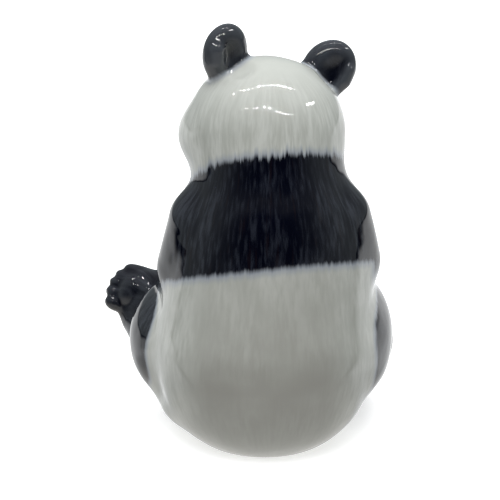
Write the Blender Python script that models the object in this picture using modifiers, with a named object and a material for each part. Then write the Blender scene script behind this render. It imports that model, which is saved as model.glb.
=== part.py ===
"""A sitting panda figurine, cast in porcelain in one piece, with its left foot drawn up beside it.

Lengths are in metres, +Z is up, the panda faces -Y and its left side is +X. The origin is on the table,
under the middle of the rump. The modelling is drawn in shares of the figurine's height, each about 1 mm
on a figurine 165 mm high.

The figurine is built up as a modeller builds it, from lumps and limbs of clay. They are joined into one
skin by a voxel remesh, the skin is settled where the lumps flow into each other, and the underside is
ground flat.
"""

import math

import bmesh
import bpy
import numpy as np
from mathutils import Matrix, Vector

# The figurine's height, and how many shares of it reach from the table to the tip of the left ear
HEIGHT = 0.165
SHARES_HIGH = 166.4
SHARE = HEIGHT / SHARES_HIGH

# Fineness of the skin, in shares, its corners round a limb, and how many triangles are kept
SKIN_STEP = 1.4
ROUND_STEPS = 32
TRIANGLES = 8600

# How the skin is settled: rounds, how far each point is evened out, longest move and probe, in shares
SETTLE_STEPS = 8
EVENING = 0.5
LONGEST_MOVE = 1.0
PROBE = 0.05
SLOPE_FLOOR = 0.25

# How widely neighbouring lumps flow into each other, in shares
FLOW_TRUNK = 16.0
FLOW_NECK = 15.0
FLOW_LIMB = 5.0
FLOW_CREASE = 2.5
FLOW_EAR = 4.0
FLOW_FACE = 5.0
FLOW_TOE = 1.8

# The head: where it sits, how far it turns to the panda's left, tips aside and nods
HEAD_PLACE = (0.0, -5.0, 126.0)
HEAD_TURN = 25.0
HEAD_TIP = -11.0
HEAD_NOD = 0.0

# The drawn-up left foot and the right foot on the table: middle, toe direction and sole direction
LEFT_FOOT = ((49.6, -45.0, 46.3), (0.86, -0.15, 0.42), (0.10, 0.80, 0.60))
RIGHT_FOOT = ((-35.0, -56.0, 16.5), (-0.35, 0.10, 0.92), (-0.15, -0.95, 0.20))

# The front paws: middle, finger direction and palm direction
LEFT_PAW = ((38.0, -44.0, 56.0), (0.45, -0.85, -0.25), (0.30, 0.10, -0.95))
RIGHT_PAW = ((-13.0, -46.0, 60.0), (0.80, -0.45, -0.30), (0.25, 0.95, -0.10))

PORCELAIN = (0.66, 0.67, 0.65, 1.0)
GLAZE_ROUGHNESS = 0.12


def lump(centre, radii, flow, turn=(0.0, 0.0, 0.0)):
    """An ellipsoid with its middle, its three radii and its turn about X, Y and Z in degrees."""
    about_x, about_y, about_z = (
        Matrix.Rotation(math.radians(angle), 3, axis) for angle, axis in zip(turn, "XYZ")
    )
    axes = about_z @ about_y @ about_x
    return {"kind": "lump", "centre": centre, "radii": radii, "flow": flow, "axes": axes}


def hollow(centre, radii, flow, turn=(0.0, 0.0, 0.0)):
    """An ellipsoid that is pressed into the clay and taken away again."""
    return {**lump(centre, radii, flow, turn), "kind": "hollow"}


def limb(stations, flow):
    """A round limb through stations, each a point and the radius there."""
    return {"kind": "limb", "stations": stations, "flow": flow}


def pair(make, centre, *rest, turn=(0.0, 0.0, 0.0)):
    """The same lump on the left and on the right."""
    x, y, z = centre
    tip, lean, twist = turn
    return [
        make((x, y, z), *rest, turn=(tip, lean, twist)),
        make((-x, y, z), *rest, turn=(tip, -lean, -twist)),
    ]


def group(forms, flow, frame=None):
    """Forms that are modelled together in a frame of their own and then set on the figure."""
    return {"forms": forms, "flow": flow, "frame": frame or Matrix.Identity(4)}


def standing_frame(place, along, facing):
    """A frame at place whose X runs along and whose Z faces facing as nearly as it can."""
    x = Vector(along).normalized()
    z = Vector(facing)
    z = (z - x * z.dot(x)).normalized()
    turn = Matrix((x, z.cross(x), z)).transposed()
    return Matrix.Translation(place) @ turn.to_4x4()


def trunk():
    """Rump, seat, belly, back and shoulders."""
    return group([
        lump((0.5, 2.0, 38.5), (43.5, 41.0, 43.0), 0.0),
        lump((1.5, 1.0, 21.0), (36.3, 34.8, 25.0), FLOW_LIMB),
        lump((0.0, -15.0, 42.0), (36.0, 33.0, 37.0), FLOW_TRUNK),
        lump((-1.0, 2.0, 72.0), (34.0, 31.0, 32.0), FLOW_TRUNK),
        lump((-2.3, 3.0, 96.0), (26.7, 25.0, 24.0), FLOW_TRUNK),
    ], 0.0)


def legs():
    """The thighs beside the rump, the left hip under its thigh, and the shins that carry the feet."""
    return group([
        lump((34.8, -17.0, 37.5), (20.2, 25.0, 25.0), FLOW_CREASE),
        lump((29.5, -8.0, 17.0), (13.5, 18.0, 13.0), FLOW_LIMB),
        limb([((41.0, -33.0, 29.0), 13.0), ((50.0, -44.0, 37.5), 10.5)], FLOW_CREASE),
        lump((-33.0, -14.0, 40.0), (17.5, 28.0, 26.0), FLOW_CREASE),
        limb([((-37.0, -32.0, 31.0), 16.0), ((-35.0, -48.0, 16.0), 12.0)], FLOW_LIMB),
    ], FLOW_CREASE)


def arms():
    """The arms, hung from the shoulders and brought forward, and the clay that fills in below the left."""
    left = [
        ((24.7, 2.0, 90.5), 13.2),
        ((31.7, -3.0, 72.0), 11.5),
        ((32.0, -28.0, 58.0), 11.5),
        ((36.0, -39.0, 55.0), 9.5),
    ]
    right = [
        ((-26.0, 2.0, 92.0), 13.4),
        ((-33.2, -3.0, 74.0), 11.7),
        ((-29.0, -28.0, 62.0), 11.5),
        ((-18.0, -41.5, 60.0), 9.5),
    ]
    return group([
        limb(left, FLOW_LIMB),
        limb(right, FLOW_LIMB),
        lump((34.0, -30.0, 48.0), (9.0, 13.0, 11.0), FLOW_LIMB),
    ], FLOW_LIMB)


def head():
    """Skull, cheeks, muzzle, nose and ears."""
    frame = (
        Matrix.Translation(HEAD_PLACE)
        @ Matrix.Rotation(math.radians(HEAD_TURN), 4, "Z")
        @ Matrix.Rotation(math.radians(HEAD_TIP), 4, "Y")
        @ Matrix.Rotation(math.radians(HEAD_NOD), 4, "X")
    )
    return group([
        lump((0.0, 0.0, 0.0), (30.3, 29.0, 27.0), 0.0),
        *pair(lump, (16.5, -9.0, -7.0), (14.0, 16.0, 13.5), FLOW_FACE),
        lump((0.0, -25.0, -8.5), (13.5, 9.5, 9.5), FLOW_FACE),
        lump((0.0, -24.0, -16.0), (8.5, 8.0, 5.5), FLOW_FACE),
        lump((0.0, -33.8, -4.5), (5.4, 3.0, 3.6), FLOW_TOE),
        *pair(lump, (22.2, -1.0, 25.3), (10.1, 5.5, 11.6), FLOW_EAR, turn=(-10.0, 25.0, 15.0)),
        *pair(hollow, (21.4, -8.0, 26.8), (6.5, 4.5, 8.0), FLOW_TOE, turn=(-10.0, 25.0, 15.0)),
        *pair(hollow, (12.0, -30.5, 2.5), (6.0, 5.5, 7.0), FLOW_FACE),
        *pair(lump, (11.5, -23.8, 3.0), (3.6, 3.6, 3.6), FLOW_TOE),
    ], FLOW_NECK, frame)


def foot(place, along, facing):
    """A hind foot: X runs to the toes, Z faces out of the sole."""
    toes = 5
    fan = 8.6
    forms = [
        lump((0.0, 0.0, -1.5), (15.0, 10.5, 6.5), 0.0),
        lump((-10.0, 0.0, -1.0), (8.0, 8.0, 7.0), FLOW_LIMB),
        lump((5.0, 0.0, 2.8), (5.0, 7.0, 3.2), FLOW_TOE),
    ]
    for toe in range(toes):
        across = fan * (2.0 * toe / (toes - 1) - 1.0)
        reach = 13.5 - 2.6 * (across / fan) ** 2
        forms.append(lump((reach, across, -0.5), (4.0, 2.6, 3.6), FLOW_TOE))
        forms.append(lump((reach - 0.5, across, 2.2), (2.2, 1.7, 1.8), FLOW_TOE))
    return group(forms, FLOW_LIMB, standing_frame(place, along, facing))


def paw(place, along, facing):
    """A front paw: X runs to the fingers, Z faces out of the palm."""
    fingers = 5
    fan = 6.6
    forms = [lump((-1.0, 0.0, 0.0), (9.0, 8.5, 6.0), 0.0)]
    for finger in range(fingers):
        across = fan * (2.0 * finger / (fingers - 1) - 1.0)
        reach = 7.5 - 2.0 * (across / fan) ** 2
        forms.append(lump((reach, across, 0.5), (3.8, 2.1, 3.2), FLOW_TOE))
    return group(forms, FLOW_LIMB, standing_frame(place, along, facing))


def figure():
    """Every group of forms, in the order in which they flow together."""
    feet = [foot(*LEFT_FOOT), foot(*RIGHT_FOOT)]
    paws = [paw(*LEFT_PAW), paw(*RIGHT_PAW)]
    return [trunk(), legs(), arms(), head(), *feet, *paws]


def lump_distance(points, form):
    """How far points lie outside an ellipsoid, nearly: exact on it, and in step with the depth near it."""
    local = (points - np.array(form["centre"])) @ np.array(form["axes"])
    radii = np.array(form["radii"])
    near = np.linalg.norm(local / radii, axis=1)
    steep = np.linalg.norm(local / radii**2, axis=1)
    return near * (near - 1.0) / np.maximum(steep, 1e-9)


def limb_distance(points, form):
    """How far points lie outside a limb: the distance to each bone less the radius along it."""
    found = np.full(len(points), np.inf)
    for (start, thick), (end, thin) in zip(form["stations"], form["stations"][1:]):
        bone = np.subtract(end, start)
        along = np.clip((points - np.array(start)) @ bone / (bone @ bone), 0.0, 1.0)
        reach = np.linalg.norm(points - np.array(start) - along[:, None] * bone, axis=1)
        found = np.minimum(found, reach - thick - along * (thin - thick))
    return found


def flow_together(first, second, flow):
    """The lesser of two distances, rounded off where they differ by less than flow."""
    if flow <= 0.0:
        return np.minimum(first, second)
    share = np.clip(0.5 + 0.5 * (second - first) / flow, 0.0, 1.0)
    return second + (first - second) * share - flow * share * (1.0 - share)


def group_distance(points, members):
    """How far points lie outside a group, measured in its own frame."""
    inverse = np.array(members["frame"].inverted())
    local = points @ inverse[:3, :3].T + inverse[:3, 3]
    found = None
    for form in members["forms"]:
        distance = limb_distance(local, form) if form["kind"] == "limb" else lump_distance(local, form)
        if found is None:
            found = distance
        elif form["kind"] == "hollow":
            found = -flow_together(-found, distance, form["flow"])
        else:
            found = flow_together(found, distance, form["flow"])
    return found


def skin_distance(points, groups):
    """How far points lie outside the whole figure, in shares."""
    found = group_distance(points, groups[0])
    for members in groups[1:]:
        found = flow_together(found, group_distance(points, members), members["flow"])
    return found


def primitive(make, **sizes):
    """A mesh that holds one primitive."""
    shape = bmesh.new()
    make(shape, **sizes)
    mesh = bpy.data.meshes.new("primitive")
    shape.to_mesh(mesh)
    shape.free()
    return mesh


def placed_primitives(form, ball):
    """A form's own primitives and their places: a sphere for a lump, spheres and cones for a limb."""
    if form["kind"] == "hollow":
        return []
    if form["kind"] == "lump":
        size = Matrix.Diagonal((*form["radii"], 1.0))
        return [(ball, Matrix.Translation(form["centre"]) @ form["axes"].to_4x4() @ size)]
    placed = [
        (ball, Matrix.Translation(point) @ Matrix.Scale(radius, 4)) for point, radius in form["stations"]
    ]
    for (start, thick), (end, thin) in zip(form["stations"], form["stations"][1:]):
        bone = Vector(end) - Vector(start)
        cone = primitive(
            bmesh.ops.create_cone,
            cap_ends=True,
            segments=ROUND_STEPS,
            radius1=thick,
            radius2=thin,
            depth=bone.length,
        )
        turn = bone.to_track_quat("Z", "Y").to_matrix().to_4x4()
        placed.append((cone, Matrix.Translation((Vector(start) + Vector(end)) / 2.0) @ turn))
    return placed


def joined_forms(groups):
    """One mesh that holds every form's primitives, still overlapping, in shares."""
    ball = primitive(
        bmesh.ops.create_uvsphere, u_segments=2 * ROUND_STEPS, v_segments=ROUND_STEPS, radius=1.0
    )
    joined = bmesh.new()
    for members in groups:
        for form in members["forms"]:
            for shape, place in placed_primitives(form, ball):
                before = len(joined.verts)
                joined.from_mesh(shape)
                added = list(joined.verts)[before:]
                bmesh.ops.transform(joined, matrix=members["frame"] @ place, verts=added)
    mesh = bpy.data.meshes.new("joined_forms")
    joined.to_mesh(mesh)
    joined.free()
    return mesh


def evaluated_copy(obj):
    """The mesh that obj's modifiers make."""
    graph = bpy.context.evaluated_depsgraph_get()
    return bpy.data.meshes.new_from_object(obj.evaluated_get(graph))


def points_of(mesh):
    """A mesh's points, one to a row."""
    points = np.empty(len(mesh.vertices) * 3, np.float32)
    mesh.vertices.foreach_get("co", points)
    return points.reshape(-1, 3).astype(np.float64)


def relaxed(points, edges, amount):
    """Each point moved towards the mean of its neighbours, by a share of the way."""
    here, there = np.concatenate([edges, edges[:, ::-1]]).T
    count = np.maximum(np.bincount(here, minlength=len(points)), 1)
    sums = [np.bincount(here, weights=points[there, axis], minlength=len(points)) for axis in range(3)]
    mean = np.stack(sums, axis=1) / count[:, None]
    return points + amount * (mean - points)


def settled(points, edges, groups):
    """The points moved onto the skin, where skin_distance is zero, and spread evenly over it."""
    for step in range(SETTLE_STEPS):
        if step < SETTLE_STEPS - 1:
            points = relaxed(points, edges, EVENING)
        height = np.clip(skin_distance(points, groups), -LONGEST_MOVE, LONGEST_MOVE)
        rise = [
            skin_distance(points + offset, groups) - skin_distance(points - offset, groups)
            for offset in PROBE * np.eye(3)
        ]
        slope = np.stack(rise, axis=1) / (2.0 * PROBE)
        move = height / np.maximum((slope**2).sum(axis=1), SLOPE_FLOOR)
        points = points - move[:, None] * slope
    return points


def porcelain():
    """Glazed porcelain: pale, glossy and not metallic."""
    material = bpy.data.materials.new("glazed_porcelain")
    material.use_nodes = True
    shader = material.node_tree.nodes["Principled BSDF"]
    shader.inputs["Base Color"].default_value = PORCELAIN
    shader.inputs["Roughness"].default_value = GLAZE_ROUGHNESS
    shader.inputs["Metallic"].default_value = 0.0
    material.diffuse_color = PORCELAIN
    return material


def collection_named(name):
    """A new collection in the scene."""
    made = bpy.data.collections.new(name)
    bpy.context.scene.collection.children.link(made)
    return made


def figurine_skin(groups, home):
    """The closed skin of the whole figure, before its underside is ground flat."""
    skin = bpy.data.objects.new("skin", joined_forms(groups))
    home.objects.link(skin)
    remesh = skin.modifiers.new("Remesh", "REMESH")
    remesh.mode = "VOXEL"
    remesh.voxel_size = SKIN_STEP
    fine = evaluated_copy(skin)
    bpy.data.objects.remove(skin)
    edges = np.empty(len(fine.edges) * 2, np.int32)
    fine.edges.foreach_get("vertices", edges)
    points = settled(points_of(fine), edges.reshape(-1, 2), groups) * SHARE
    fine.vertices.foreach_set("co", points.astype(np.float32).ravel())
    fine.update()
    return fine


def grinding_block(home):
    """The cutter that takes away all that lies below the table."""
    side = 2.0 * HEIGHT
    bpy.ops.mesh.primitive_cube_add(size=side, location=(0.0, 0.0, -side / 2.0))
    block = bpy.context.object
    block.name = "grinding_block"
    block.hide_render = True
    block.display_type = "WIRE"
    for holder in list(block.users_collection):
        holder.objects.unlink(block)
    home.objects.link(block)
    return block


def make_figurine(home, cutters):
    """The figurine as one solid."""
    figurine = bpy.data.objects.new("figurine", figurine_skin(figure(), home))
    home.objects.link(figurine)
    fewer = figurine.modifiers.new("Decimate", "DECIMATE")
    fewer.ratio = TRIANGLES / (2 * len(figurine.data.polygons))
    flat = figurine.modifiers.new("Underside", "BOOLEAN")
    flat.operation = "DIFFERENCE"
    flat.object = grinding_block(cutters)
    figurine.data.materials.append(porcelain())
    figurine.data.shade_smooth()
    return figurine


def main():
    for obj in list(bpy.data.objects):
        bpy.data.objects.remove(obj)
    make_figurine(collection_named("panda_figurine"), collection_named("cutters"))


if __name__ == "__main__":
    main()
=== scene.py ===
import math

import bmesh
import bpy
import numpy as np
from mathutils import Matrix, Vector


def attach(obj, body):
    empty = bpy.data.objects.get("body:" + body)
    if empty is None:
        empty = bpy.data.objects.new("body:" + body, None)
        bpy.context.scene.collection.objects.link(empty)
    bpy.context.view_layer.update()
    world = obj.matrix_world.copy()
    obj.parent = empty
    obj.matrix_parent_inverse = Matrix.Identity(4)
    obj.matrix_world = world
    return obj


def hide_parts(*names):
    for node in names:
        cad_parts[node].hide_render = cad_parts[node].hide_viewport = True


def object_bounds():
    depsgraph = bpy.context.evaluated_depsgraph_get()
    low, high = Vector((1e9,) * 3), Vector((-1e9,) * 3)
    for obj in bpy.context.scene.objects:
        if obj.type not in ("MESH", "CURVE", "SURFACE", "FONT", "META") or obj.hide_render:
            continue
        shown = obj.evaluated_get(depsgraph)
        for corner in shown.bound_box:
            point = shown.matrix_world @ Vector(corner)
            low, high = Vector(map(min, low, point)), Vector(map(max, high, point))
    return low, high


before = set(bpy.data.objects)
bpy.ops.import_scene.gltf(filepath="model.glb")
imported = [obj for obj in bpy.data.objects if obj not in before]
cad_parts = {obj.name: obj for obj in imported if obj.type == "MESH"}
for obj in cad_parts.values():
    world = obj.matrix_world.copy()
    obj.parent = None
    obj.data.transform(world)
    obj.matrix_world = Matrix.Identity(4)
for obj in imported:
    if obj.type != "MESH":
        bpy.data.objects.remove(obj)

cad_low, cad_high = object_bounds()

# A sitting panda in glazed porcelain, seen from behind. The modelling is drawn in shares of its height.
# The panda faces -Y, its left side is +X, and Z is up.
SHARES_HIGH = 166.4
SHARE = (cad_high.z - cad_low.z) / SHARES_HIGH

# Fineness of the skin, in shares
SKIN_STEP = 1.15
ROUND = 48

# How widely neighbouring lumps of clay flow into each other, in shares
FLOW_TRUNK = 16.0
FLOW_NECK = 14.0
FLOW_LIMB = 5.0
FLOW_CREASE = 2.5
FLOW_EAR = 4.0
FLOW_FACE = 5.0
FLOW_DISH = 3.6
FLOW_TOE = 1.8
FLOW_FINE = 0.9
FLOW_TABLE = 0.8

# How the skin is settled: rounds, evening out, longest move, probe and least slope
SETTLE_ROUNDS = 9
EVENING = 0.5
LONGEST_MOVE = 1.0
PROBE = 0.05
SLOPE_FLOOR = 0.25

# The head's place and how far it turns to the panda's left and tips aside
HEAD_PLACE = (0.0, -5.0, 126.0)
HEAD_TURN = 25.0
HEAD_TIP = -11.0

# Feet and paws: middle, direction of the toes, direction of the sole or palm
LEFT_FOOT = ((50.4, -44.0, 44.7), (0.845, -0.15, 0.47), (0.10, 0.80, 0.60))
RIGHT_FOOT = ((-35.0, -56.0, 16.5), (-0.35, 0.10, 0.92), (-0.15, -0.95, 0.20))
LEFT_PAW = ((34.0, -45.0, 54.5), (0.45, -0.85, -0.25), (0.30, 0.10, -0.95))
RIGHT_PAW = ((-13.0, -46.0, 60.0), (0.80, -0.45, -0.30), (0.25, 0.95, -0.10))

# The photograph's frame: 500 pixels square, its scale and where the figurine stands in it
PIXELS = 500
PIXEL = 0.387 * SHARE
CAMERA_DISTANCE = 600.0 * SHARE
CAMERA_TARGET = (6.5 * SHARE, 0.0, 78.5 * SHARE)
CAMERA_RISE = math.radians(15.0)
SENSOR = 36.0

# How far the modeller's unevenness stands out, and what counts as the underside, in shares
UNEVENNESS = 0.35
UNDERSIDE = 0.02

# Floor, in metres: its reach, where it ends on the camera's side, and its drop under the figurine
FLOOR_REACH = 4.0
FLOOR_EDGE = 0.105
FLOOR_DROP = 0.0002


# Forms of clay

def turned(degrees):
    """The turn about X, then Y, then Z, as three axes in columns."""
    a, b, c = np.radians(degrees)
    about_x = np.array([[1, 0, 0], [0, math.cos(a), -math.sin(a)], [0, math.sin(a), math.cos(a)]])
    about_y = np.array([[math.cos(b), 0, math.sin(b)], [0, 1, 0], [-math.sin(b), 0, math.cos(b)]])
    about_z = np.array([[math.cos(c), -math.sin(c), 0], [math.sin(c), math.cos(c), 0], [0, 0, 1]])
    return about_z @ about_y @ about_x


def lump(centre, radii, flow, turn=(0.0, 0.0, 0.0)):
    """An ellipsoid of clay with its middle, its three radii and its turn."""
    return {
        "kind": "lump",
        "centre": np.array(centre),
        "radii": np.array(radii),
        "axes": turned(turn),
        "flow": flow,
    }


def limb(stations, flow):
    """A round limb of clay through stations, each a point and the radius there."""
    points = np.array([point for point, _ in stations])
    radii = np.array([radius for _, radius in stations])
    return {"kind": "limb", "points": points, "radii": radii, "flow": flow}


def pressed(form):
    """The same form, pressed into the clay and taken away again."""
    return {**form, "pressed": True}


def mirrored(turn):
    """The turn of the same form on the panda's other side."""
    return (turn[0], -turn[1], -turn[2])


def pair(centre, radii, flow, turn=(0.0, 0.0, 0.0)):
    """The same lump on the left and on the right."""
    x, y, z = centre
    return [lump((x, y, z), radii, flow, turn), lump((-x, y, z), radii, flow, mirrored(turn))]


def limb_pair(stations, flow):
    """The same limb on the left and on the right."""
    other = [((-x, y, z), radius) for (x, y, z), radius in stations]
    return [limb(stations, flow), limb(other, flow)]


def group(name, forms, flow, place=(0.0, 0.0, 0.0), axes=np.eye(3)):
    """Forms modelled together in a frame of their own, and how they flow onto the rest."""
    return {"name": name, "forms": forms, "flow": flow, "place": np.array(place), "axes": axes}


def standing(along, facing):
    """Axes whose X runs along and whose Z faces facing as nearly as it can."""
    x = np.array(along) / np.linalg.norm(along)
    z = np.array(facing) - x * np.dot(facing, x)
    z = z / np.linalg.norm(z)
    return np.stack([x, np.cross(z, x), z], axis=1)


# The panda's forms

def trunk():
    """Rump, seat, belly, back, shoulders and the left hip."""
    return group("trunk", [
        lump((0.5, -0.5, 38.5), (43.5, 40.0, 43.0), 0.0),
        lump((1.5, -3.0, 21.0), (38.0, 34.0, 24.7), FLOW_LIMB),
        lump((0.0, -15.0, 42.0), (36.0, 33.0, 37.0), FLOW_TRUNK),
        lump((-1.6, -2.0, 76.5), (39.6, 34.0, 33.0), FLOW_TRUNK),
        lump((-2.3, 3.0, 96.0), (26.7, 25.0, 24.0), FLOW_TRUNK),
        lump((29.5, -8.0, 17.0), (13.5, 18.0, 13.0), FLOW_LIMB),
    ], 0.0)


def legs():
    """The thighs beside the rump, the shins that carry the feet, and the left foot's instep."""
    return group("legs", [
        lump((34.8, -17.0, 37.5), (20.2, 25.0, 25.0), 0.0),
        limb([((41.0, -33.0, 29.0), 13.0), ((50.0, -44.0, 37.5), 10.5)], FLOW_CREASE),
        limb([((51.0, -45.0, 50.2), 8.4), ((38.0, -34.0, 41.5), 8.4)], FLOW_LIMB),
        lump((-33.0, -14.0, 40.0), (17.5, 28.0, 26.0), FLOW_CREASE),
        limb([((-37.0, -32.0, 31.0), 16.0), ((-35.0, -48.0, 16.0), 12.0)], FLOW_CREASE),
    ], FLOW_LIMB)


def arms():
    """The arms, hung from the shoulders and brought forward, and the clay that fills in below the left."""
    return group("arms", [
        limb([
            ((24.7, 2.0, 90.5), 13.2),
            ((31.0, -3.0, 72.0), 11.5),
            ((31.0, -28.0, 58.0), 11.3),
            ((31.5, -39.0, 55.0), 9.2),
        ], 0.0),
        limb([
            ((-26.0, 2.0, 92.0), 13.4),
            ((-32.2, -3.0, 74.5), 11.7),
            ((-29.0, -28.0, 62.0), 11.5),
            ((-18.0, -41.5, 60.0), 9.5),
        ], FLOW_LIMB),
        lump((34.0, -30.0, 48.0), (9.0, 13.0, 11.0), FLOW_LIMB),
    ], FLOW_LIMB)


EAR_PLACE = (22.2, -1.0, 25.3)
EAR_TURN = (-10.0, 28.0, 15.0)


def ear_place(outward, back, up):
    """A place measured in the left ear's own frame, as a place on the head."""
    return tuple(np.array(EAR_PLACE) + turned(EAR_TURN) @ np.array([outward, back, up]))


def ear_shells():
    """The round shells of the two ears."""
    return pair(EAR_PLACE, (10.1, 5.5, 11.6), FLOW_EAR, EAR_TURN)


def ear_carving():
    """The ears' cupped fronts and dished backs, with a soft ridge up the outer side of each back."""
    cups = pair((21.4, -8.0, 26.8), (6.5, 4.5, 8.0), FLOW_TOE, EAR_TURN)
    dishes = pair(ear_place(1.4, 9.9, 2.6), (6.6, 5.8, 7.0), FLOW_DISH, EAR_TURN)
    outer = [
        (ear_place(6.6, 2.4, -5.0), 1.8),
        (ear_place(7.2, 3.0, 0.0), 2.2),
        (ear_place(6.0, 2.9, 4.5), 1.7),
    ]
    ridges = limb_pair(outer, FLOW_DISH)
    return [pressed(form) for form in cups + dishes] + ridges


EYE_PLACE = (11.5, -23.8, 3.0)


def head():
    """Skull, cheeks, short muzzle, nose, nostrils and mouth, eyes in their sockets, lids, and the ears."""
    muzzle = [
        *pair((16.5, -9.0, -7.0), (14.0, 16.0, 13.5), FLOW_FACE),
        lump((0.0, -25.5, -9.0), (12.6, 10.4, 9.0), FLOW_FACE),
        lump((0.0, -24.5, -16.5), (7.5, 8.0, 5.5), FLOW_FACE),
        lump((0.0, -34.8, -5.0), (4.6, 2.8, 3.1), FLOW_TOE),
    ]
    nostrils = [pressed(form) for form in pair((2.1, -37.6, -5.4), (1.2, 1.2, 0.9), FLOW_FINE)]
    sockets = [pressed(form) for form in pair((12.0, -30.5, 2.5), (6.0, 5.5, 7.0), FLOW_FACE)]
    eyes = pair(EYE_PLACE, (3.6, 3.6, 3.6), FLOW_FINE)
    upper_lid = [
        ((8.0, -26.2, 3.6), 0.9),
        ((9.6, -26.9, 5.8), 1.0),
        ((12.4, -26.6, 6.4), 1.0),
        ((14.9, -24.8, 4.0), 0.9),
    ]
    lower_lid = [
        ((8.4, -26.2, 2.4), 0.7),
        ((10.2, -26.9, 0.2), 0.7),
        ((12.8, -26.4, -0.1), 0.7),
        ((14.8, -24.8, 1.8), 0.7),
    ]
    lids = limb_pair(upper_lid, FLOW_FINE) + limb_pair(lower_lid, FLOW_FINE)
    lip = [
        ((0.0, -35.9, -11.0), 0.8),
        ((3.2, -34.8, -12.8), 0.8),
        ((6.8, -32.0, -12.8), 0.7),
        ((9.6, -28.6, -11.0), 0.6),
    ]
    philtrum = limb([((0.0, -37.0, -8.0), 0.7), ((0.0, -36.0, -11.0), 0.7)], FLOW_FINE)
    mouth = [pressed(form) for form in [*limb_pair(lip, FLOW_FINE), philtrum]]
    skull = lump((0.0, 0.0, 0.0), (30.3, 29.0, 27.0), 0.0)
    forms = [skull, *muzzle, *ear_shells(), *ear_carving(), *sockets, *eyes, *lids, *nostrils, *mouth]
    axes = turned((0.0, 0.0, HEAD_TURN)) @ turned((0.0, HEAD_TIP, 0.0))
    return group("head", forms, FLOW_NECK, HEAD_PLACE, axes)


def foot(name, place, along, facing):
    """A hind foot, whose X runs to the toes and whose Z faces out of the sole, with its pads."""
    toes = 5
    fan = 8.0
    forms = [
        lump((0.0, 0.0, -1.5), (15.0, 9.9, 6.5), 0.0),
        lump((-10.0, 0.0, -1.0), (8.0, 8.0, 7.0), FLOW_LIMB),
        lump((8.0, 0.4, 3.3), (3.7, 5.8, 4.0), FLOW_FINE),
        lump((-0.8, 0.8, 3.1), (4.7, 7.2, 4.4), FLOW_FINE),
        lump((-9.0, 0.0, 3.6), (4.4, 4.8, 2.8), FLOW_FINE),
    ]
    for toe in range(toes):
        across = fan * (2.0 * toe / (toes - 1) - 1.0)
        reach = 13.4 - 2.6 * (across / fan) ** 2
        forms.append(lump((reach, across, 0.5), (4.0, 2.7, 3.9), FLOW_TOE))
    return group(name, forms, FLOW_LIMB, place, standing(along, facing))


def paw(name, place, along, facing):
    """A front paw, whose X runs to the fingers and whose Z faces out of the palm."""
    fingers = 5
    fan = 6.6
    forms = [lump((-1.0, 0.0, 0.0), (9.0, 8.5, 6.0), 0.0)]
    for finger in range(fingers):
        across = fan * (2.0 * finger / (fingers - 1) - 1.0)
        reach = 7.5 - 2.0 * (across / fan) ** 2
        forms.append(lump((reach, across, 0.5), (3.8, 2.1, 3.2), FLOW_TOE))
    return group(name, forms, FLOW_LIMB, place, standing(along, facing))


FIGURE = [
    trunk(),
    legs(),
    arms(),
    head(),
    foot("left_foot", *LEFT_FOOT),
    foot("right_foot", *RIGHT_FOOT),
    paw("left_paw", *LEFT_PAW),
    paw("right_paw", *RIGHT_PAW),
]


# Distances to the clay

def lump_depth(points, form):
    """Height over an ellipsoid: with k the length of the point over the radii, k(k-1) over its slope."""
    local = (points - form["centre"]) @ form["axes"]
    scaled = local / form["radii"]
    near = np.sqrt((scaled**2).sum(axis=1))
    steep = np.sqrt(((scaled / form["radii"]) ** 2).sum(axis=1))
    return near * (near - 1.0) / np.maximum(steep, 1e-9)


def limb_depth(points, form):
    """Height over a limb: the distance to the nearest bone less the radius along it."""
    found = np.full(len(points), np.inf)
    stations = list(zip(form["points"], form["radii"]))
    for (start, thick), (end, thin) in zip(stations, stations[1:]):
        bone = end - start
        along = np.clip((points - start) @ bone / (bone @ bone), 0.0, 1.0)
        reach = np.linalg.norm(points - start - along[:, None] * bone, axis=1)
        found = np.minimum(found, reach - thick - along * (thin - thick))
    return found


def form_depth(points, form):
    """Height over one form."""
    return limb_depth(points, form) if form["kind"] == "limb" else lump_depth(points, form)


def flow_together(first, second, flow):
    """The lesser of two heights, rounded off by a parabola where they differ by less than flow."""
    if flow <= 0.0:
        return np.minimum(first, second)
    share = np.clip(0.5 + 0.5 * (second - first) / flow, 0.0, 1.0)
    return second + (first - second) * share - flow * share * (1.0 - share)


def in_frame(points, members):
    """Points measured in a group's own frame."""
    return (points - members["place"]) @ members["axes"]


def group_depth(points, members):
    """Height over a group, form after form, measured in its own frame."""
    local = in_frame(points, members)
    found = None
    for form in members["forms"]:
        height = form_depth(local, form)
        if found is None:
            found = height
        elif "pressed" in form:
            found = -flow_together(-found, height, form["flow"])
        else:
            found = flow_together(found, height, form["flow"])
    return found


def skin_depth(points):
    """Height over the whole figure, which ends at the table."""
    found = group_depth(points, FIGURE[0])
    for members in FIGURE[1:]:
        found = flow_together(found, group_depth(points, members), members["flow"])
    return -flow_together(-found, points[:, 2], FLOW_TABLE)


# Surfaces of the clay, as grids of two parameters

def ball(rings, turns):
    """A unit ball on a grid: (sin b cos a, sin b sin a, cos b), b from pole to pole and a all round."""
    b = np.linspace(0.0, math.pi, rings)[:, None]
    a = np.linspace(0.0, 2.0 * math.pi, turns, endpoint=False)[None, :]
    return np.stack([np.sin(b) * np.cos(a), np.sin(b) * np.sin(a), np.cos(b) + 0.0 * a], axis=2)


def lump_surface(form):
    """The ellipsoid's grid: the ball's points times the radii, turned and put in place."""
    return form["centre"] + (ball(ROUND // 2 + 1, ROUND) * form["radii"]) @ form["axes"].T


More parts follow.
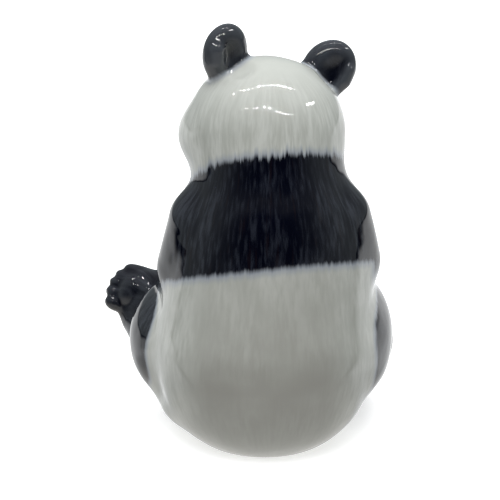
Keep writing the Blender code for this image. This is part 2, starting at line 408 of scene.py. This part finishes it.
def limb_surface(form):
    """A round profile carried along the limb's path, closed at each end by a half ball."""
    points, radii = form["points"], form["radii"]
    bones = np.diff(points, axis=0)
    lengths = np.linalg.norm(bones, axis=1)
    s = np.concatenate([[0.0], np.cumsum(lengths)])
    along = np.linspace(0.0, s[-1], ROUND)
    middle = np.stack([np.interp(along, s, points[:, k]) for k in range(3)], axis=1)
    radius = np.interp(along, s, radii)
    rise = np.linspace(0.0, 0.5 * math.pi, ROUND // 4)[:-1]
    first, last = bones[0] / lengths[0], bones[-1] / lengths[-1]
    start = points[0] - np.outer(np.cos(rise), first) * radii[0]
    end = points[-1] + np.outer(np.cos(rise[::-1]), last) * radii[-1]
    path = np.concatenate([start, middle, end])
    width = np.concatenate([radii[0] * np.sin(rise), radius, radii[-1] * np.sin(rise[::-1])])
    tangent = np.gradient(middle, axis=0)
    tangent = np.concatenate([np.tile(first, (len(rise), 1)), tangent, np.tile(last, (len(rise), 1))])
    tangent /= np.linalg.norm(tangent, axis=1)[:, None]
    side = np.cross(tangent, (0.31, 0.17, 0.93))
    side /= np.linalg.norm(side, axis=1)[:, None]
    other = np.cross(tangent, side)
    a = np.linspace(0.0, 2.0 * math.pi, ROUND, endpoint=False)[None, :, None]
    ring = np.cos(a) * side[:, None] + np.sin(a) * other[:, None]
    return path[:, None] + width[:, None, None] * ring


def grid_faces(rings, turns):
    """Quads between neighbouring rings, wrapped round, and fans at the two poles, as index arrays."""
    ring = np.arange(1, rings - 1)[:, None] * turns
    here = np.arange(turns)[None, :]
    there = (here + 1) % turns
    low, high = ring[:-1], ring[1:]
    quads = np.stack([low + here, high + here, high + there, low + there], axis=2).reshape(-1, 4)
    top = np.stack([0 * here[0], turns + here[0], turns + there[0]], axis=1)
    base = (rings - 2) * turns
    bottom = np.stack([0 * here[0] + (rings - 1) * turns, base + there[0], base + here[0]], axis=1)
    return quads, top, bottom


def raw_clay():
    """The closed surfaces of all forms but the pressed ones, in one mesh, with none below the table."""
    points, faces, count = [], [], 0
    for members in FIGURE:
        for form in members["forms"]:
            if "pressed" in form:
                continue
            grid = limb_surface(form) if form["kind"] == "limb" else lump_surface(form)
            rings, turns = grid.shape[:2]
            placed = grid.reshape(-1, 3) @ members["axes"].T + members["place"]
            placed[:, 2] = np.maximum(placed[:, 2], 0.0)
            points.append(placed)
            faces += [(part + count).tolist() for part in grid_faces(rings, turns)]
            count += len(placed)
    mesh = bpy.data.meshes.new("raw_clay")
    mesh.from_pydata(np.concatenate(points), [], [face for part in faces for face in part])
    return mesh


def points_of(mesh):
    """A mesh's points, one to a row."""
    points = np.empty(len(mesh.vertices) * 3, np.float32)
    mesh.vertices.foreach_get("co", points)
    return points.reshape(-1, 3).astype(np.float64)


def ends_of(mesh):
    """A mesh's edges as pairs of point numbers."""
    ends = np.empty(len(mesh.edges) * 2, np.int32)
    mesh.edges.foreach_get("vertices", ends)
    return ends.reshape(-1, 2)


def joined_skin():
    """One skin round all the raw clay, by a voxel remesh."""
    raw = bpy.data.objects.new("raw_clay", raw_clay())
    bpy.context.scene.collection.objects.link(raw)
    remesh = raw.modifiers.new("Remesh", "REMESH")
    remesh.mode = "VOXEL"
    remesh.voxel_size = SKIN_STEP
    graph = bpy.context.evaluated_depsgraph_get()
    skin = bpy.data.meshes.new_from_object(raw.evaluated_get(graph))
    bpy.data.objects.remove(raw)
    return skin


def finer_where_small(mesh):
    """The edges on the head's front, ears, paws and feet cut in two, for the fine forms there."""
    points = points_of(mesh)
    head = in_frame(points, group_named("head"))
    small = (head[:, 1] < -14.0) & (points[:, 2] > 100.0)
    small |= np.min([lump_depth(head, shell) for shell in ear_shells()], axis=0) < 3.0
    for name in ("left_foot", "right_foot", "left_paw", "right_paw"):
        small |= group_depth(points, group_named(name)) < 3.0
    body = bmesh.new()
    body.from_mesh(mesh)
    edges = [edge for edge in body.edges if small[edge.verts[0].index] and small[edge.verts[1].index]]
    bmesh.ops.subdivide_edges(body, edges=edges, cuts=1, use_grid_fill=True)
    body.to_mesh(mesh)
    body.free()


def evened(points, ends, amount):
    """Each point moved a share of the way to the mean of its neighbours."""
    here, there = np.concatenate([ends, ends[:, ::-1]]).T
    count = np.maximum(np.bincount(here, minlength=len(points)), 1)
    sums = [np.bincount(here, weights=points[there, k], minlength=len(points)) for k in range(3)]
    mean = np.stack(sums, axis=1) / count[:, None]
    return points + amount * (mean - points)


def slope_at(points, height):
    """How fast the height grows along X, Y and Z, by small steps."""
    return np.stack([skin_depth(points + step) - height for step in PROBE * np.eye(3)], axis=1) / PROBE


def settled(points, ends):
    """The points moved down the slope of the height until it is zero, and evened out between moves."""
    for turn in range(SETTLE_ROUNDS):
        if turn < SETTLE_ROUNDS - 2:
            points = evened(points, ends, EVENING)
        height = skin_depth(points)
        slope = slope_at(points, height)
        move = np.clip(height, -LONGEST_MOVE, LONGEST_MOVE) / np.maximum((slope**2).sum(axis=1), SLOPE_FLOOR)
        points = points - move[:, None] * slope
    return points, slope / np.linalg.norm(slope, axis=1)[:, None]


def hand_waves(points):
    """The modeller's unevenness: the mean of sines of wavelengths of 13 to 34 shares in fixed directions."""
    directions = np.array([
        (0.83, 0.41, 0.37), (-0.52, 0.77, 0.36), (0.21, -0.55, 0.81), (0.64, -0.69, -0.34),
        (-0.35, -0.25, 0.90), (0.93, 0.08, -0.36), (0.11, 0.92, -0.38), (-0.71, 0.29, -0.64),
    ])
    lengths = np.array([34.0, 29.0, 25.0, 22.0, 19.0, 17.0, 15.0, 13.0])
    phases = np.arange(8) * 1.7
    return np.sin(points @ (directions * (2.0 * math.pi / lengths)[:, None]).T + phases).mean(axis=1)


# Underglaze painting, as heights over the edges of the colours, positive inside the dark

BAND_TOP = (111.1, -0.10, 0.36)
BAND_BOTTOM = (69.9, -0.10, 0.31)
LEG_EDGE = 0.4
ARM_EDGE = 0.0
EAR_EDGE = 0.5

# How ragged each edge is, in shares
RAGGED_TOP = 8.0
RAGGED_BOTTOM = 3.5
RAGGED_FINE = 2.0


def group_named(name):
    """A group of the figure by its name."""
    return next(members for members in FIGURE if members["name"] == name)


def band(points):
    """Height inside the band: between two tilted planes, one bent down at the left, one level in front."""
    x, y, z = points.T
    top = BAND_TOP[0] + BAND_TOP[1] * x + BAND_TOP[2] * y - 0.3 * np.maximum(x - 20.0, 0.0)
    back = 0.5 * (y + np.sqrt(y**2 + 36.0))
    bottom = BAND_BOTTOM[0] + BAND_BOTTOM[1] * x + BAND_BOTTOM[2] * back
    return np.minimum(top - z, z - bottom)


def mouth_line(local):
    """Height inside the fine line painted in the mouth."""
    lines = [form for form in group_named("head")["forms"] if "pressed" in form and form["kind"] == "limb"]
    bare = [{**form, "radii": 0.0 * form["radii"]} for form in lines]
    return 0.75 - np.min([limb_depth(local, form) for form in bare], axis=0)


def face_marks(points):
    """Height inside the ears, eye patches, nose leather and mouth line: the greatest of the four."""
    members = group_named("head")
    local = in_frame(points, members)
    skull = lump_depth(local, members["forms"][0])
    ear = skull - np.minimum(*[lump_depth(local, shell) for shell in ear_shells()]) - EAR_EDGE
    patches = pair((12.6, -27.0, 1.8), (5.4, 9.0, 7.6), 0.0, (0.0, -36.0, 0.0))
    patch = -np.minimum(*[lump_depth(local, form) for form in patches])
    nose = -lump_depth(local, lump((0.0, -36.2, -5.0), (4.7, 3.0, 3.2), 0.0))
    return np.max([ear, patch, 2.0 * nose, 3.0 * mouth_line(local)], axis=0)


def raggedness(points):
    """How ragged the edges near each point are: most along the band's top, least on the head."""
    x, y, z = points.T
    top = BAND_TOP[0] + BAND_TOP[1] * x + BAND_TOP[2] * y
    found = RAGGED_BOTTOM + (RAGGED_TOP - RAGGED_BOTTOM) * np.clip((z - top + 22.0) / 8.0, 0.0, 1.0)
    return np.where(z > top + 14.0, RAGGED_FINE, found)


def dark_height(points):
    """Height inside all that is painted black: band, limbs, ears and face marks."""
    heights = {members["name"]: group_depth(points, members) for members in FIGURE}
    arm = heights["trunk"] - heights["arms"] - ARM_EDGE
    low_left = np.where(points[:, 0] > 0.0, np.clip((54.0 - points[:, 2]) / 16.0, 0.0, 1.0), 0.0)
    leg = 2.0 * (heights["trunk"] - heights["legs"] - LEG_EDGE - 3.4 * low_left)
    ends = np.min([heights[name] for name in ("left_foot", "right_foot", "left_paw", "right_paw")], axis=0)
    tips = np.minimum(heights["trunk"] - 1.0, 3.0 - ends)
    found = np.max([band(points), arm, leg, tips, face_marks(points)], axis=0)
    head_only = heights["trunk"] - heights["head"]
    beyond = 4.0 + 40.0 * np.clip((points[:, 1] + 5.0) / 12.0, 0.0, 1.0)
    white_head = np.where(head_only > beyond, face_marks(points), np.maximum(found, face_marks(points)))
    return np.where(points[:, 2] > 105.0, white_head, found)


def brush_place(points):
    """Where a point lies for the brush: round the upright axis on a ring of fixed size, and up it."""
    x, y, z = points.T
    round_axis = np.maximum(np.hypot(x, y), 1e-3)
    ring = 30.0
    return np.stack([ring * x / round_axis, ring * y / round_axis, z], axis=1)


def brush_shown(points):
    """How plainly the strokes show: none at the table and above 150 shares, all of it 22 shares from both."""
    z = points[:, 2]
    return np.clip(np.minimum(150.0 - z, z) / 22.0, 0.0, 1.0)


def crests(points, ends, normal):
    """How far each point stands out over its surroundings, less 0.10, times 2.2, kept in -0.35 to 0.9."""
    around = points
    for _ in range(6):
        around = evened(around, ends, 1.0)
    height = ((points - around) * normal).sum(axis=1)
    for _ in range(2):
        height = evened(height[:, None].repeat(3, axis=1), ends, 0.7)[:, 0]
    return np.clip((height - 0.10) * 2.2, -0.35, 0.9)


def painted_rump_shade(points):
    """Painted shade with a faint warm tint: a warm grey, full low in the rump's middle, less to the sides, the
    table and the band.
    """
    x, _, z = points.T
    middle = np.clip((46.0 - np.abs(x)) / 24.0, 0.30, 1.0)
    return middle * np.clip((104.0 - z) / 68.0, 0.0, 1.0) * np.clip(0.5 + z / 66.0, 0.0, 1.0)


def ear_tone(local):
    """How much lighter black an ear takes: 1.4 for its thin paint, up to 1.0 less in its valley as painted
    shade, and up to 0.9 more on its ridge as painted sheen.
    """
    folded = local * np.sign(local[:, :1] + 1e-9) ** np.array([1.0, 0.0, 0.0])
    outward, _, up = ((folded - np.array(EAR_PLACE)) @ turned(EAR_TURN)).T
    valley = np.exp(-(((outward - 1.2) / 2.6) ** 2)) * np.clip((8.0 - up) / 4.0, 0.0, 1.0)
    ridge = np.exp(-(((outward - 6.6) / 1.5) ** 2)) * np.clip((5.5 - np.abs(up + 1.0)) / 3.0, 0.0, 1.0)
    return 1.4 - 1.0 * valley + 0.9 * ridge


def thin_paint_and_sheen(points):
    """How far the black is lightened: the greatest of a share on the ears, with painted shade in their valleys
    and painted sheen on their ridges, one low down for thin paint, and one at the sides that is partly thinner
    paint and partly painted sheen.
    """
    x, _, z = points.T
    local = in_frame(points, group_named("head"))
    high = np.where(local[:, 1] < -14.0, 0.0, ear_tone(local)) * np.clip((z - 124.0) / 8.0, 0.0, 1.0)
    low = 0.55 * np.clip((66.0 - z) / 8.0, 0.0, 1.0)
    sides = 0.30 * np.clip((np.abs(x) - 10.0) / 18.0, 0.0, 1.0)
    return np.maximum(np.maximum(high, low), sides)


def eye_height(points):
    """Distance from the line of each eye's gaze, for points ahead of the eye's middle, and 9 elsewhere."""
    local = in_frame(points, group_named("head"))
    found = np.full(len(points), 9.0)
    for side in (1.0, -1.0):
        eye = np.array([side * EYE_PLACE[0], EYE_PLACE[1], EYE_PLACE[2]])
        gaze = np.array([side * 0.16, -0.98, -0.06])
        offset = local - eye
        ahead = offset @ gaze
        aside = np.linalg.norm(offset - ahead[:, None] * gaze, axis=1)
        found = np.minimum(found, np.where(ahead > 1.5, aside, 9.0))
    return found


def add_floats(mesh, name, values):
    """A number for each point of the mesh, kept under a name for the materials."""
    mesh.attributes.new(name, "FLOAT", "POINT").data.foreach_set("value", values.astype(np.float32))


def add_vectors(mesh, name, values):
    """A vector for each point of the mesh, kept under a name for the materials."""
    flat = values.astype(np.float32).ravel()
    mesh.attributes.new(name, "FLOAT_VECTOR", "POINT").data.foreach_set("vector", flat)


# Materials

def new_material(name):
    """A new node material, its node tree and its shader."""
    material = bpy.data.materials.new(name)
    material.use_nodes = True
    tree = material.node_tree
    return material, tree, tree.nodes["Principled BSDF"]


def linked(tree, socket, value):
    """A value, or another node's output, into a socket."""
    if isinstance(value, bpy.types.NodeSocket):
        tree.links.new(value, socket)
    else:
        socket.default_value = value


def attribute(tree, name, output="Fac"):
    """What a named attribute of the mesh holds."""
    node = tree.nodes.new("ShaderNodeAttribute")
    node.attribute_name = name
    return node.outputs[output]


def scaled(tree, vector, scale):
    """A place measured in other units along each axis."""
    node = tree.nodes.new("ShaderNodeMapping")
    linked(tree, node.inputs["Vector"], vector)
    node.inputs["Scale"].default_value = scale
    return node.outputs["Vector"]


def noise(tree, vector, scale, detail=2.0, roughness=0.5):
    """Cloudy noise from 0 to 1."""
    node = tree.nodes.new("ShaderNodeTexNoise")
    linked(tree, node.inputs["Vector"], vector)
    node.inputs["Scale"].default_value = scale
    node.inputs["Detail"].default_value = detail
    node.inputs["Roughness"].default_value = roughness
    return node.outputs["Fac"]


def math_node(tree, operation, first, second=0.0):
    """One sum on two values."""
    node = tree.nodes.new("ShaderNodeMath")
    node.operation = operation
    linked(tree, node.inputs[0], first)
    linked(tree, node.inputs[1], second)
    return node.outputs[0]


def smooth_range(tree, value, low, high, to_low=0.0, to_high=1.0):
    """A value's way from low to high, eased at both ends."""
    node = tree.nodes.new("ShaderNodeMapRange")
    node.interpolation_type = "SMOOTHSTEP"
    linked(tree, node.inputs["Value"], value)
    node.inputs["From Min"].default_value = low
    node.inputs["From Max"].default_value = high
    node.inputs["To Min"].default_value = to_low
    node.inputs["To Max"].default_value = to_high
    return node.outputs["Result"]


def mixed(tree, share, first, second):
    """Two colours mixed by a share."""
    node = tree.nodes.new("ShaderNodeMix")
    node.data_type = "RGBA"
    linked(tree, node.inputs["Factor"], share)
    linked(tree, node.inputs[6], first)
    linked(tree, node.inputs[7], second)
    return node.outputs[2]


WHITE_BRUSH = (0.610, 0.628, 0.590, 1.0)
GREY_BRUSH = (0.475, 0.492, 0.453, 1.0)
# Warm grey of the painted shade low on the body, with its faint warm tint
WARM_SHADE_GREY = (0.300, 0.298, 0.271, 1.0)
COBALT = (0.25, 0.29, 0.38, 1.0)
BLACK = (0.0012, 0.0018, 0.0060, 1.0)
BLUE_BLACK = (0.018, 0.021, 0.031, 1.0)
BROWN_BLACK = (0.007, 0.004, 0.006, 1.0)
IRIS = (0.045, 0.022, 0.012, 1.0)
# Lighter black: thin paint, and painted sheen on the flanks, the ears' ridges and the crests
THIN_BLACK_AND_SHEEN = (0.060, 0.067, 0.078, 1.0)
BISCUIT_GREY = (0.66, 0.64, 0.59, 1.0)
BISCUIT_WHITE = (0.78, 0.77, 0.73, 1.0)
FLOOR_GREY = (0.90, 0.90, 0.90, 1.0)
FLOOR_WHITE = (0.93, 0.93, 0.93, 1.0)


def painted_porcelain():
    """White slip and near-black underglaze laid on in long brush strokes, under a thick clear glaze."""
    material, tree, shader = new_material("painted_porcelain")
    place = attribute(tree, "brush", "Vector")
    dark = attribute(tree, "dark")
    brushed = attribute(tree, "brushed")

    fine = noise(tree, scaled(tree, place, (0.80, 0.80, 0.13)), 1.0, 3.0, 0.55)
    broad = noise(tree, scaled(tree, place, (0.22, 0.22, 0.055)), 1.0, 2.0)
    clouds = noise(tree, scaled(tree, place, (0.05, 0.05, 0.05)), 1.0, 2.0)

    fine_share = math_node(tree, "MULTIPLY", fine, 0.6)
    broad_share = math_node(tree, "MULTIPLY", broad, 0.4)
    strokes = math_node(tree, "ADD", fine_share, broad_share)
    faint = math_node(tree, "MULTIPLY", math_node(tree, "SUBTRACT", strokes, 0.5), brushed)
    white = mixed(tree, smooth_range(tree, faint, -0.15, 0.13), GREY_BRUSH, WHITE_BRUSH)
    patches = noise(tree, scaled(tree, place, (0.11, 0.11, 0.06)), 1.0, 3.0)
    patches = smooth_range(tree, patches, 0.42, 0.66, 0.0, 0.6)
    patches = math_node(tree, "MULTIPLY", patches, brushed)
    white = mixed(tree, patches, white, GREY_BRUSH)
    # Painted shade low on the body with a faint warm tint, mottled by the clouds
    rump_shade = smooth_range(tree, clouds, 0.2, 0.7, 0.72, 1.0)
    rump_shade = math_node(tree, "MULTIPLY", rump_shade, attribute(tree, "rump_shade"))
    white = mixed(tree, rump_shade, white, WARM_SHADE_GREY)

    black = mixed(tree, smooth_range(tree, strokes, 0.46, 0.68), BLACK, BLUE_BLACK)
    brown = noise(tree, scaled(tree, place, (0.55, 0.55, 0.05)), 1.3, 2.0)
    black = mixed(tree, smooth_range(tree, brown, 0.58, 0.72, 0.0, 0.6), black, BROWN_BLACK)
    # The lighter black mixed in here is thin paint, and also painted sheen on crests, ear ridges and flanks
    # and painted shade in hollows and ear valleys
    uneven = smooth_range(tree, strokes, 0.30, 0.70, -0.5, 0.5)
    uneven = math_node(tree, "MULTIPLY", uneven, brushed)
    uneven = math_node(tree, "ADD", math_node(tree, "ADD", uneven, 0.5), attribute(tree, "crest"))
    thin = math_node(tree, "MULTIPLY", uneven, attribute(tree, "thin"))
    thin = math_node(tree, "MINIMUM", math_node(tree, "MAXIMUM", thin, 0.0), 1.0)
    black = mixed(tree, thin, black, THIN_BLACK_AND_SHEEN)

    ragged = noise(tree, scaled(tree, place, (0.62, 0.62, 0.05)), 1.0, 3.0, 0.6)
    tips = math_node(tree, "MULTIPLY", math_node(tree, "SUBTRACT", ragged, 0.5), attribute(tree, "ragged"))
    edge = math_node(tree, "ADD", dark, tips)
    halo = smooth_range(tree, edge, -4.2, -0.6, 0.0, 0.6)
    colour = mixed(tree, halo, white, COBALT)
    colour = mixed(tree, smooth_range(tree, edge, -1.7, 0.9), colour, black)
    eye = attribute(tree, "eye")
    colour = mixed(tree, smooth_range(tree, eye, 2.7, 2.4), colour, IRIS)
    colour = mixed(tree, smooth_range(tree, eye, 1.5, 1.2), colour, BLACK)
    linked(tree, shader.inputs["Base Color"], colour)

    shader.inputs["Metallic"].default_value = 0.0
    shader.inputs["Roughness"].default_value = 0.6
    shader.inputs["Specular IOR Level"].default_value = 0.0
    shader.inputs["Coat Weight"].default_value = 1.0
    shader.inputs["Coat Roughness"].default_value = 0.018
    shader.inputs["Coat IOR"].default_value = 1.5

    under = tree.nodes.new("ShaderNodeBump")
    under.inputs["Strength"].default_value = 0.3
    under.inputs["Distance"].default_value = 0.2 * SHARE
    relief = math_node(tree, "ADD", fine, math_node(tree, "MULTIPLY", broad, 1.5))
    linked(tree, under.inputs["Height"], math_node(tree, "MULTIPLY", relief, brushed))
    tree.links.new(under.outputs["Normal"], shader.inputs["Normal"])

    coordinates = tree.nodes.new("ShaderNodeTexCoord").outputs["Object"]
    ripples = noise(tree, coordinates, 0.14 / SHARE, 1.0, 0.4)
    over = tree.nodes.new("ShaderNodeBump")
    over.inputs["Strength"].default_value = 1.0
    over.inputs["Distance"].default_value = 0.22 * SHARE
    linked(tree, over.inputs["Height"], ripples)
    tree.links.new(over.outputs["Normal"], shader.inputs["Coat Normal"])
    return material


def bare_biscuit():
    """The unglazed underside: matt, chalky white porcelain with a faint bloom."""
    material, tree, shader = new_material("bare_biscuit")
    coordinates = tree.nodes.new("ShaderNodeTexCoord").outputs["Object"]
    specks = noise(tree, coordinates, 0.9 / SHARE, 4.0, 0.6)
    colour = mixed(tree, smooth_range(tree, specks, 0.3, 0.7), BISCUIT_GREY, BISCUIT_WHITE)
    linked(tree, shader.inputs["Base Color"], colour)
    shader.inputs["Roughness"].default_value = 0.85
    return material


def pale_floor_paint():
    """Matt pale paint with the faintest mottling."""
    material, tree, shader = new_material("pale_floor")
    coordinates = tree.nodes.new("ShaderNodeTexCoord").outputs["Object"]
    mottling = noise(tree, coordinates, 3.0, 2.0)
    linked(tree, shader.inputs["Base Color"], mixed(tree, mottling, FLOOR_GREY, FLOOR_WHITE))
    shader.inputs["Roughness"].default_value = 0.7
    shader.inputs["Emission Color"].default_value = (1.0, 1.0, 1.0, 1.0)
    shader.inputs["Emission Strength"].default_value = 0.55
    return material


# The figurine

def porcelain_panda():
    """The panda's skin: the joined clay, settled, made a little uneven by hand, painted and glazed."""
    mesh = joined_skin()
    finer_where_small(mesh)
    ends = ends_of(mesh)
    points, normal = settled(points_of(mesh), ends)
    add_floats(mesh, "dark", dark_height(points))
    add_floats(mesh, "ragged", raggedness(points))
    # Painted shade low on the body, with a faint warm tint
    add_floats(mesh, "rump_shade", painted_rump_shade(points))
    add_floats(mesh, "brushed", brush_shown(points))
    # How far the black is lightened: thin paint, with painted sheen on the flanks and ear ridges and painted
    # shade in the ear valleys
    add_floats(mesh, "thin", thin_paint_and_sheen(points))
    # The black is lighter on crests and darker in hollows: glaze breaking on edges, and also painted sheen on
    # crests and painted shade in hollows
    add_floats(mesh, "crest", crests(points, ends, normal))
    add_floats(mesh, "eye", eye_height(points))
    add_vectors(mesh, "brush", brush_place(points))
    off_table = np.clip(points[:, 2] / 6.0, 0.0, 1.0)
    points = points + (UNEVENNESS * off_table * hand_waves(points))[:, None] * normal
    points[:, 2] = np.maximum(points[:, 2], 0.0)
    mesh.vertices.foreach_set("co", (points * SHARE).astype(np.float32).ravel())
    mesh.materials.clear()
    mesh.materials.append(painted_porcelain())
    mesh.materials.append(bare_biscuit())
    corners = np.empty(len(mesh.loops), np.int32)
    mesh.loops.foreach_get("vertex_index", corners)
    starts = np.empty(len(mesh.polygons), np.int32)
    mesh.polygons.foreach_get("loop_start", starts)
    flat = np.maximum.reduceat(points[corners, 2], starts) < UNDERSIDE
    mesh.polygons.foreach_set("material_index", flat.astype(np.int32))
    mesh.update()
    mesh.shade_smooth()
    panda = bpy.data.objects.new("porcelain_panda", mesh)
    bpy.context.scene.collection.objects.link(panda)
    return panda


panda = porcelain_panda()
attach(panda, "root")
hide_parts("figurine")


# Floor, light and camera

def pale_floor():
    """A plain pale floor sheet under the figurine, which ends outside the photograph's lower edge."""
    mesh = bpy.data.meshes.new("floor")
    corners = [
        (-FLOOR_REACH, -FLOOR_REACH, -FLOOR_DROP),
        (FLOOR_REACH, -FLOOR_REACH, -FLOOR_DROP),
        (FLOOR_REACH, FLOOR_EDGE, -FLOOR_DROP),
        (-FLOOR_REACH, FLOOR_EDGE, -FLOOR_DROP),
    ]
    mesh.from_pydata(corners, [], [(0, 1, 2, 3)])
    mesh.materials.append(pale_floor_paint())
    floor = bpy.data.objects.new("floor", mesh)
    floor.visible_diffuse = False
    floor.visible_glossy = False
    bpy.context.scene.collection.objects.link(floor)
    return floor


def spread_light(name, azimuth, elevation, spread, strength):
    """A far, wide, soft light that shades matt surfaces and isn't mirrored in the glaze."""
    data = bpy.data.lights.new(name, "SUN")
    data.energy = strength
    data.angle = math.radians(spread)
    light = bpy.data.objects.new(name, data)
    light.rotation_mode = "QUATERNION"
    light.rotation_quaternion = direction(azimuth, elevation).to_track_quat("Z", "Y")
    light.visible_glossy = False
    bpy.context.scene.collection.objects.link(light)


def direction(azimuth, elevation):
    """The way to a light: azimuth from the camera's side towards the panda's left, elevation from level."""
    a, e = math.radians(azimuth), math.radians(elevation)
    return Vector((math.sin(a) * math.cos(e), math.cos(a) * math.cos(e), math.sin(e)))


FIGURE_MIDDLE = np.array([0.0, 0.0, 0.08])


def lamp_row(name, start, end, count, width, radiance):
    """Small bright lamps in a straight row from start to end, mirrored in the glaze as a dotted line."""
    places = np.linspace(start, end, count)
    for lamp, place in enumerate(places):
        data = bpy.data.lights.new(name + str(lamp), "AREA")
        data.shape = "SQUARE"
        data.size = width
        data.energy = radiance * width**2 * math.pi
        light = bpy.data.objects.new(name + str(lamp), data)
        light.location = place
        light.rotation_mode = "QUATERNION"
        light.rotation_quaternion = Vector(place - FIGURE_MIDDLE).to_track_quat("Z", "Y")
        light.visible_camera = False
        light.visible_diffuse = False
        bpy.context.scene.collection.objects.link(light)


ROOM_DARK = (0.012, 0.012, 0.016, 1.0)
ROOM_DIM = (0.30, 0.33, 0.34, 1.0)
TABLE = (1.00, 0.99, 0.96, 1.0)
CEILING = (0.30, 0.31, 0.32, 1.0)
WHITE_SHEET = (1.25, 1.27, 1.28, 1.0)


def studio():
    """White sheets behind the figurine, a dim room on the camera's side, a ceiling and a bright table."""
    world = bpy.data.worlds.new("studio")
    bpy.context.scene.world = world
    world.use_nodes = True
    tree = world.node_tree
    background = tree.nodes["Background"]
    toward = tree.nodes.new("ShaderNodeTexCoord").outputs["Generated"]
    parts = tree.nodes.new("ShaderNodeSeparateXYZ")
    tree.links.new(toward, parts.inputs[0])
    near, up = parts.outputs["Y"], parts.outputs["Z"]
    room = mixed(tree, smooth_range(tree, near, 0.95, 0.0), ROOM_DARK, ROOM_DIM)
    room = mixed(tree, smooth_range(tree, up, 0.35, 0.8), room, CEILING)
    room = mixed(tree, smooth_range(tree, up, -0.10, -0.70), room, TABLE)
    edge = smooth_range(tree, up, 0.10, -0.15, -0.74, -0.16)
    edge = math_node(tree, "ADD", edge, smooth_range(tree, up, -0.25, -0.55, 0.0, 0.30))
    behind = math_node(tree, "SUBTRACT", edge, near)
    not_above = smooth_range(tree, up, 0.10, -0.02)
    not_below = smooth_range(tree, up, -0.62, -0.36)
    level = math_node(tree, "MULTIPLY", not_above, not_below)
    seam = math_node(tree, "MULTIPLY", smooth_range(tree, behind, -0.07, -0.03), level)
    light = mixed(tree, seam, room, (0.0, 0.0, 0.0, 1.0))
    sheet = math_node(tree, "MULTIPLY", smooth_range(tree, behind, 0.0, 0.24), level)
    light = mixed(tree, sheet, light, WHITE_SHEET)
    sight = tree.nodes.new("ShaderNodeLightPath").outputs["Is Camera Ray"]
    light = mixed(tree, sight, light, (1.0, 1.0, 1.0, 1.0))
    tree.links.new(light, background.inputs["Color"])
    background.inputs["Strength"].default_value = 1.0
    bpy.context.scene.view_settings.view_transform = "Standard"


def photographer_camera():
    """The camera behind the panda, above it, aimed down at its middle by the photograph's rise."""
    data = bpy.data.cameras.new("camera")
    data.sensor_width = SENSOR
    data.lens = SENSOR * CAMERA_DISTANCE / (PIXELS * PIXEL)
    data.clip_start = 0.01
    camera = bpy.data.objects.new("camera", data)
    back = np.array([0.0, math.cos(CAMERA_RISE), math.sin(CAMERA_RISE)])
    camera.location = np.array(CAMERA_TARGET) + CAMERA_DISTANCE * back
    camera.rotation_mode = "QUATERNION"
    camera.rotation_quaternion = Vector(-back).to_track_quat("-Z", "Y")
    bpy.context.scene.collection.objects.link(camera)
    bpy.context.scene.camera = camera


pale_floor()
studio()
spread_light("key", 4.0, 58.0, 50.0, 2.3)
spread_light("top", 180.0, 78.0, 60.0, 1.6)
lamp_row("near_lamp", (0.62, 0.80, 0.86), (-0.95, 0.80, 0.80), 17, 0.018, 260.0)
lamp_row("high_lamp", (0.80, 0.20, 1.25), (-0.75, 0.0, 1.28), 17, 0.018, 260.0)
lamp_row("window", (-0.98, -0.10, 0.80), (-0.98, 0.14, 0.86), 3, 0.07, 40.0)
photographer_camera()
